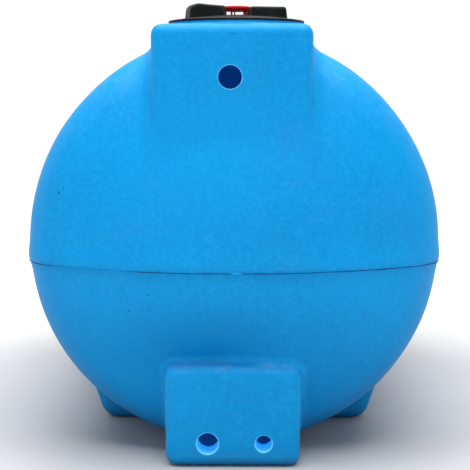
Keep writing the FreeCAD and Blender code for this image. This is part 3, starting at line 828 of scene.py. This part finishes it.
def spread(tree, value, low, high, to_low=0.0, to_high=1.0):
    """Clamped change of range."""
    made = add_node(tree, "ShaderNodeMapRange", Value=value, From_Min=low, From_Max=high,
                    To_Min=to_low, To_Max=to_high)
    return made.outputs["Result"]


def rough_between(tree, value, smooth, matt):
    """Roughness that follows a noise."""
    return spread(tree, value, NOISE_LOW, NOISE_HIGH, smooth, matt)


def calculate(tree, operation, first, second):
    """Arithmetic on two values."""
    made = tree.nodes.new("ShaderNodeMath")
    made.operation = operation
    for socket, value in zip(made.inputs, (first, second)):
        if isinstance(value, bpy.types.NodeSocket):
            tree.links.new(value, socket)
        else:
            socket.default_value = value
    return made.outputs[0]


def times(tree, first, second):
    """One value times another."""
    return calculate(tree, "MULTIPLY", first, second)


def plus(tree, first, second):
    """One value plus another."""
    return calculate(tree, "ADD", first, second)


def mix_colour(tree, factor, first, second):
    """Blend of two colours."""
    made = tree.nodes.new("ShaderNodeMix")
    made.data_type = "RGBA"
    for index, value in ((0, factor), (6, first), (7, second)):
        socket = made.inputs[index]
        if isinstance(value, bpy.types.NodeSocket):
            tree.links.new(value, socket)
        elif index == 0:
            socket.default_value = value
        else:
            socket.default_value = (*value, 1)
    return made.outputs[2]


def raised(tree, height, distance, normal=None):
    """Bump of a height map; distance is in metres."""
    made = add_node(tree, "ShaderNodeBump", Height=height, Distance=distance)
    if normal is not None:
        tree.links.new(normal, made.inputs["Normal"])
    return made.outputs["Normal"]


def stretched(tree, place, scale, turn=(0.0, 0.0, 0.0)):
    """Coordinates scaled differently along each axis."""
    made = add_node(tree, "ShaderNodeMapping", Vector=place, Scale=scale, Rotation=turn)
    return made.outputs["Vector"]


def facing_up(tree, low, high):
    """1 where the surface faces the sky, 0 where it doesn't."""
    geometry = tree.nodes.new("ShaderNodeNewGeometry")
    parts = add_node(tree, "ShaderNodeSeparateXYZ", Vector=geometry.outputs["Normal"])
    return spread(tree, parts.outputs["Z"], low, high)


def height_above_floor(tree, place):
    """Z of the object's own coordinates."""
    return add_node(tree, "ShaderNodeSeparateXYZ", Vector=place).outputs["Z"]


def spot(tree, place, centre, size):
    """1 inside an ellipsoid with ragged edges, 0 outside."""
    ragged = add_node(tree, "ShaderNodeTexNoise", Vector=place, Scale=SPOT_GRAIN)
    shift = tree.nodes.new("ShaderNodeVectorMath")
    shift.operation = "SUBTRACT"
    tree.links.new(place, shift.inputs[0])
    shift.inputs[1].default_value = centre
    shrunk = stretched(tree, shift.outputs[0], tuple(1 / length for length in size))
    reach = tree.nodes.new("ShaderNodeVectorMath")
    reach.operation = "LENGTH"
    tree.links.new(shrunk, reach.inputs[0])
    uneven = plus(tree, reach.outputs["Value"], ragged.outputs["Fac"])
    return spread(tree, uneven, SPOT_OUTER, SPOT_INNER)


def new_material(name):
    """Node material: its tree, its shader and the object's coordinates."""
    material = bpy.data.materials.new(name)
    material.use_nodes = True
    tree = material.node_tree
    shader = tree.nodes["Principled BSDF"]
    place = tree.nodes.new("ShaderNodeTexCoord").outputs["Object"]
    return material, tree, shader, place


def join_shader(tree, shader, colour, roughness, normal):
    """Link the three worked-out channels to the shader."""
    tree.links.new(colour, shader.inputs["Base Color"])
    tree.links.new(roughness, shader.inputs["Roughness"])
    tree.links.new(normal, shader.inputs["Normal"])


def scratches(tree, place, scale, turn, low, high):
    """Sparse thin lines, in patches."""
    lines = noise(tree, stretched(tree, place, scale, turn), scale=14.0, detail=2.0)
    patch = spread(tree, noise(tree, place, scale=5.0, detail=2.0), 0.52, 0.66)
    return times(tree, spread(tree, lines, low, high), patch)


def blue_polyethylene():
    """Rotationally moulded polyethylene: mottled pigment, orange peel, scuffs, dust with a
    painted sheen on top, blotches darker towards the floor, and painted shade on surfaces
    that face down.
    """
    material, tree, shader, place = new_material("moulded_blue")
    cloud = noise(tree, place, scale=4.0, detail=3.0)
    colour = mix_colour(tree, spread(tree, cloud, 0.35, 0.65), BLUE, BLUE_DEEP)
    patches = noise(tree, place, scale=7.5, detail=4.0, roughness=0.6)
    purple = spread(tree, patches, 0.52, 0.78, to_high=0.30)
    colour = mix_colour(tree, purple, colour, BLUE_PURPLE)
    mottle = noise(tree, place, scale=120.0, detail=4.0, roughness=0.62)
    pale = spread(tree, mottle, 0.40, 0.66, to_high=0.44)
    colour = mix_colour(tree, pale, colour, BLUE_PALE)
    grain = noise(tree, place, scale=520.0, detail=2.0)
    dark = spread(tree, grain, 0.5, 0.8, to_high=0.75)
    colour = mix_colour(tree, dark, colour, BLUE_DARK)

    lines = scratches(tree, place, SCUFF_STRETCH, SCUFF_TURN, 0.66, 0.72)
    scuff = times(tree, lines, SCUFF_STRENGTH)
    colour = mix_colour(tree, scuff, colour, SCUFF)
    # Dust with a painted sheen: up-facing surfaces are paled towards grey, partly real dust,
    # partly sheen painted in
    film = noise(tree, place, scale=38.0, detail=5.0, roughness=0.65)
    film = spread(tree, film, 0.38, 0.72, to_high=0.15)
    dust_and_sheen = times(tree, facing_up(tree, 0.35, 0.95), film)
    colour = mix_colour(tree, dust_and_sheen, colour, DUST_AND_PAINTED_SHEEN)
    # Darker in blotches towards the floor
    near_floor = spread(tree, height_above_floor(tree, place), NEAR_FLOOR_DARK_TOP, 0.0)
    blots = noise(tree, place, scale=30.0, detail=4.0)
    near_floor_dark_mask = times(tree, near_floor, spread(tree, blots, 0.4, 0.7, to_low=0.1, to_high=0.5))
    colour = mix_colour(tree, near_floor_dark_mask, colour, NEAR_FLOOR_DARK)
    # Painted shade: surfaces that face down are darkened towards a deep blue
    painted_shade_under = times(tree, facing_up(tree, PAINTED_SHADE_FROM, PAINTED_SHADE_TO), PAINTED_SHADE_STRENGTH)
    colour = mix_colour(tree, painted_shade_under, colour, BLUE_PAINTED_SHADE_UNDER)
    for centre, size, strength in SPECKS:
        mark = times(tree, spot(tree, place, centre, size), strength)
        colour = mix_colour(tree, mark, colour, SPECK)

    shader.inputs["Specular IOR Level"].default_value = BLUE_GLOSS
    rough = rough_between(tree, mottle, 0.42, 0.56)
    rough = plus(tree, rough, times(tree, scuff, SCUFF_ROUGH))
    rough = plus(tree, rough, times(tree, dust_and_sheen, DUST_AND_SHEEN_ROUGH))
    peel = raised(tree, noise(tree, place, scale=190.0), 0.35 * MM)
    fine = raised(tree, grain, 0.07 * MM, peel)
    join_shader(tree, shader, colour, rough, raised(tree, scuff, 0.10 * MM, fine))
    return material


def blue_inside():
    """Inside of the wall, coloured a deeper blue as painted shade, with a painted glow
    standing in for the light that comes through the plastic.
    """
    material, tree, shader, place = new_material("moulded_blue_inside_painted_shade_and_glow")
    cloud = noise(tree, place, scale=9.0, detail=4.0)
    # Painted shade: the inside is coloured a deeper blue than the outside
    colour = mix_colour(tree, spread(tree, cloud, 0.35, 0.65), BLUE_DARK, INSIDE_PAINTED_SHADE)
    # Painted glow: the inside gives off light of its own
    painted_glow = mix_colour(tree, cloud, INSIDE_PAINTED_GLOW, INSIDE_PAINTED_GLOW_DEEP)
    tree.links.new(painted_glow, shader.inputs["Emission Color"])
    shader.inputs["Emission Strength"].default_value = INSIDE_PAINTED_GLOW_STRENGTH
    rough = rough_between(tree, cloud, 0.45, 0.6)
    peel = raised(tree, noise(tree, place, scale=150.0), 0.3 * MM)
    join_shader(tree, shader, colour, rough, peel)
    return material


def bore_blue_painted_light():
    """Walls of the bores: a paler blue and a glow, both painted light, with fine rings left
    by the cutter.
    """
    material, tree, shader, place = new_material("bore_walls_painted_light")
    lumps = noise(tree, place, scale=160.0, detail=4.0, roughness=0.6)
    # Painted light: the bore walls are coloured paler than the face
    colour = mix_colour(tree, spread(tree, lumps, 0.35, 0.65), BORE_PAINTED_LIGHT, BORE_PAINTED_LIGHT_PALE)
    rings = noise(tree, stretched(tree, place, RING_STRETCH), scale=150.0, detail=1.0)
    # Painted glow: the bore walls give off light of their own
    painted_glow = mix_colour(tree, spread(tree, rings, 0.35, 0.65), BORE_PAINTED_GLOW, BORE_PAINTED_GLOW_DEEP)
    tree.links.new(painted_glow, shader.inputs["Emission Color"])
    shader.inputs["Emission Strength"].default_value = BORE_PAINTED_GLOW_STRENGTH
    rough = rough_between(tree, lumps, 0.5, 0.62)
    join_shader(tree, shader, colour, rough, raised(tree, rings, 0.25 * MM))
    return material


def parting_blue():
    """Flash along the parting line, coloured dark as painted shade in its crease, except on
    an unshaded stretch, with a painted highlight on the burr.
    """
    material, tree, shader, place = new_material("parting_flash")
    lumps = noise(tree, place, scale=60.0, detail=4.0)
    # Painted shade: the bead is coloured dark blue, as the crease under it would be shaded
    colour = mix_colour(tree, spread(tree, lumps, 0.35, 0.7), SEAM_PAINTED_SHADE_DEEP, SEAM_PAINTED_SHADE)
    centre, size, strength = SEAM_UNSHADED
    unshaded = times(tree, spot(tree, place, centre, size), strength)
    colour = mix_colour(tree, unshaded, colour, BLUE)
    # Painted highlight: a pale spot on the burr
    pale = spot(tree, place, BURR_PLACE, BURR_PAINTED_HIGHLIGHT)
    colour = mix_colour(tree, pale, colour, BLUE_PALE)
    shader.inputs["Specular IOR Level"].default_value = BLUE_GLOSS
    rough = rough_between(tree, lumps, 0.45, 0.62)
    grit = raised(tree, noise(tree, place, scale=700.0), 0.1 * MM)
    join_shader(tree, shader, colour, rough, grit)
    return material


def black_plastic():
    """Moulded black plastic with a fine grain, scratches, and pale dust with a painted sheen
    on top.
    """
    material, tree, shader, place = new_material("moulded_black")
    lumps = noise(tree, place, scale=45.0, detail=5.0, roughness=0.6)
    colour = mix_colour(tree, spread(tree, lumps, 0.35, 0.7), BLACK, BLACK_WORN)
    # Dust with a painted highlight: up-facing surfaces are paled towards grey
    film = noise(tree, place, scale=75.0, detail=6.0, roughness=0.7)
    film = spread(tree, film, 0.40, 0.72, to_high=0.22)
    dust_and_sheen = times(tree, facing_up(tree, 0.55, 0.98), film)
    colour = mix_colour(tree, dust_and_sheen, colour, BLACK_DUST_SHEEN_AND_SCRATCH)
    line = scratches(tree, place, SCRATCH_STRETCH, SCRATCH_TURN, 0.62, 0.70)
    faint = times(tree, line, SCRATCH_STRENGTH)
    colour = mix_colour(tree, faint, colour, BLACK_DUST_SHEEN_AND_SCRATCH)
    shader.inputs["Specular IOR Level"].default_value = BLACK_GLOSS
    rough = rough_between(tree, lumps, 0.34, 0.48)
    rough = plus(tree, rough, times(tree, dust_and_sheen, BLACK_DUST_AND_SHEEN_ROUGH))
    fine = raised(tree, noise(tree, place, scale=1500.0, detail=2.0), 0.05 * MM)
    join_shader(tree, shader, colour, rough, raised(tree, line, 0.05 * MM, fine))
    return material


def red_plastic():
    """Red moulded plastic, sun-bleached and dusty on top."""
    material, tree, shader, place = new_material("moulded_red")
    lumps = noise(tree, place, scale=110.0, detail=5.0, roughness=0.65)
    colour = mix_colour(tree, spread(tree, lumps, 0.35, 0.68), RED, RED_DEEP)
    worn = spread(tree, noise(tree, place, scale=160.0, detail=4.0), 0.4, 0.7, to_high=0.25)
    bleach = times(tree, facing_up(tree, 0.2, 0.95), worn)
    colour = mix_colour(tree, bleach, colour, RED_BLEACHED)
    shader.inputs["Specular IOR Level"].default_value = RED_GLOSS
    rough = rough_between(tree, lumps, 0.32, 0.5)
    rough = plus(tree, rough, times(tree, bleach, BLEACH_ROUGH))
    fine = raised(tree, noise(tree, place, scale=900.0), 0.06 * MM)
    join_shader(tree, shader, colour, rough, fine)
    return material


def black_rubber():
    """Matt rubber with a chalky bloom."""
    material, tree, shader, place = new_material("matt_rubber")
    lumps = noise(tree, place, scale=90.0, detail=5.0, roughness=0.6)
    bloom = spread(tree, lumps, 0.4, 0.75, to_high=0.6)
    colour = mix_colour(tree, bloom, RUBBER, RUBBER_BLOOM)
    rough = rough_between(tree, lumps, 0.72, 0.88)
    fine = raised(tree, noise(tree, place, scale=1200.0), 0.08 * MM)
    join_shader(tree, shader, colour, rough, fine)
    return material


def stainless_steel():
    """Turned stainless steel with fine lines and slight staining."""
    material, tree, shader, place = new_material("turned_steel")
    shader.inputs["Metallic"].default_value = 1.0
    stain = noise(tree, place, scale=210.0, detail=4.0, roughness=0.6)
    colour = mix_colour(tree, spread(tree, stain, 0.4, 0.7), STEEL, STEEL_STAINED)
    lines = noise(tree, stretched(tree, place, TURNED_STRETCH), scale=90.0, detail=2.0)
    rough = rough_between(tree, lines, 0.22, 0.40)
    join_shader(tree, shader, colour, rough, raised(tree, lines, 0.02 * MM))
    return material


def steel_mesh():
    """Dull stainless gauze with dirt caught in it."""
    material, tree, shader, place = new_material("dull_gauze")
    shader.inputs["Metallic"].default_value = 1.0
    dirt = noise(tree, place, scale=260.0, detail=4.0, roughness=0.6)
    caught = spread(tree, dirt, 0.42, 0.7, to_high=0.8)
    colour = mix_colour(tree, caught, STEEL, STEEL_DIRTY)
    rough = rough_between(tree, dirt, 0.38, 0.7)
    fine = raised(tree, noise(tree, place, scale=2200.0), 0.03 * MM)
    join_shader(tree, shader, colour, rough, fine)
    return material


def stage_material():
    """Pale floor with a faint unevenness, paler towards the wall."""
    material, tree, shader, place = new_material("pale_floor")
    lumps = noise(tree, place, scale=1.6, detail=4.0)
    near = mix_colour(tree, lumps, FLOOR_PALE, FLOOR_PALER)
    reach = add_node(tree, "ShaderNodeVectorMath")
    reach.operation = "LENGTH"
    tree.links.new(place, reach.inputs[0])
    away = spread(tree, reach.outputs["Value"], COVE_PALE_FROM, COVE_PALE_TO)
    colour = mix_colour(tree, away, near, WALL_PALE)
    rough = rough_between(tree, lumps, 0.72, 0.82)
    fine = raised(tree, noise(tree, place, scale=30.0), 0.05 * MM)
    join_shader(tree, shader, colour, rough, fine)
    return material


def paint(piece, material):
    """Give a whole piece one material, in every slot that it has."""
    if not piece.material_slots:
        piece.data.materials.append(material)
    for slot in piece.material_slots:
        slot.material = material


# ---------------------------------------------------------------- stage

def make_camera():
    """Camera at the photographed viewing angle."""
    data = bpy.data.cameras.new("camera")
    data.sensor_width = SENSOR_WIDTH
    data.lens = FOCAL_PIXELS * SENSOR_WIDTH / IMAGE_SIDE
    camera = bpy.data.objects.new("camera", data)
    camera.location = CAMERA_PLACE
    camera.rotation_euler = (math.radians(90 - CAMERA_PITCH), 0, math.radians(CAMERA_YAW))
    bpy.context.scene.collection.objects.link(camera)
    bpy.context.scene.camera = camera


def make_cove():
    """Round floor that sweeps up into a wall, so that no edge shows behind the tank."""
    turn = COVE_WALL - COVE_FLOOR
    profile = [(0.0, 0.0), (COVE_FLOOR / 2, 0.0)]
    for step in range(COVE_STEPS + 1):
        angle = math.pi / 2 * step / COVE_STEPS
        profile.append((COVE_FLOOR + turn * math.sin(angle), turn * (1 - math.cos(angle))))
    profile.append((COVE_WALL, COVE_TOP))
    points = [(0.0, 0.0, 0.0)]
    for radius, height in profile[1:]:
        for index in range(COVE_SIDES):
            angle = 2 * math.pi * index / COVE_SIDES
            points.append((radius * math.cos(angle), radius * math.sin(angle), height))
    faces = [(0, 1 + index, 1 + (index + 1) % COVE_SIDES) for index in range(COVE_SIDES)]
    for ring in range(len(profile) - 2):
        start = 1 + ring * COVE_SIDES
        for index in range(COVE_SIDES):
            following = (index + 1) % COVE_SIDES
            faces.append((start + index, start + COVE_SIDES + index,
                          start + COVE_SIDES + following, start + following))
    cove = mesh_object("studio_cove", points, faces)
    cove.data.shade_smooth()
    paint(cove, stage_material())


def make_light(name, place, target, side, watts):
    """Square soft light that points at a target."""
    data = bpy.data.lights.new(name, "AREA")
    data.shape = "SQUARE"
    data.size = side
    data.energy = watts
    light = bpy.data.objects.new(name, data)
    light.location = place
    way = Vector(target) - Vector(place)
    light.rotation_euler = way.to_track_quat("-Z", "Y").to_euler()
    bpy.context.scene.collection.objects.link(light)


def make_world():
    """Even pale surroundings."""
    world = bpy.data.worlds.new("surroundings")
    world.use_nodes = True
    background = world.node_tree.nodes["Background"]
    background.inputs["Color"].default_value = WORLD_COLOUR
    background.inputs["Strength"].default_value = WORLD_STRENGTH
    bpy.context.scene.world = world


bpy.context.scene.view_settings.view_transform = "Standard"
make_camera()
make_world()
make_cove()
for name, place, target, side, watts in LIGHTS:
    make_light(name, place, target, side, watts)

skin = make_tank_skin()
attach(skin, "tank")
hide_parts("tank_shell")

bead = make_parting_line()
paint(bead, parting_blue())
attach(bead, "tank")

black = black_plastic()
rubber = black_rubber()
grip = make_grip()
paint(grip, black)
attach(grip, "lid")

finishes = {
    "neck_ring": black,
    "lid": black,
    "neck_ring_seal": rubber,
    "lid_gasket": rubber,
    "vent_seal": rubber,
    "vent_cap": red_plastic(),
    "vent_screen_ring": black,
    "neck_ring_screws": stainless_steel(),
    "vent_screen": steel_mesh(),
}
for name, material in finishes.items():
    paint(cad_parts[name], material)
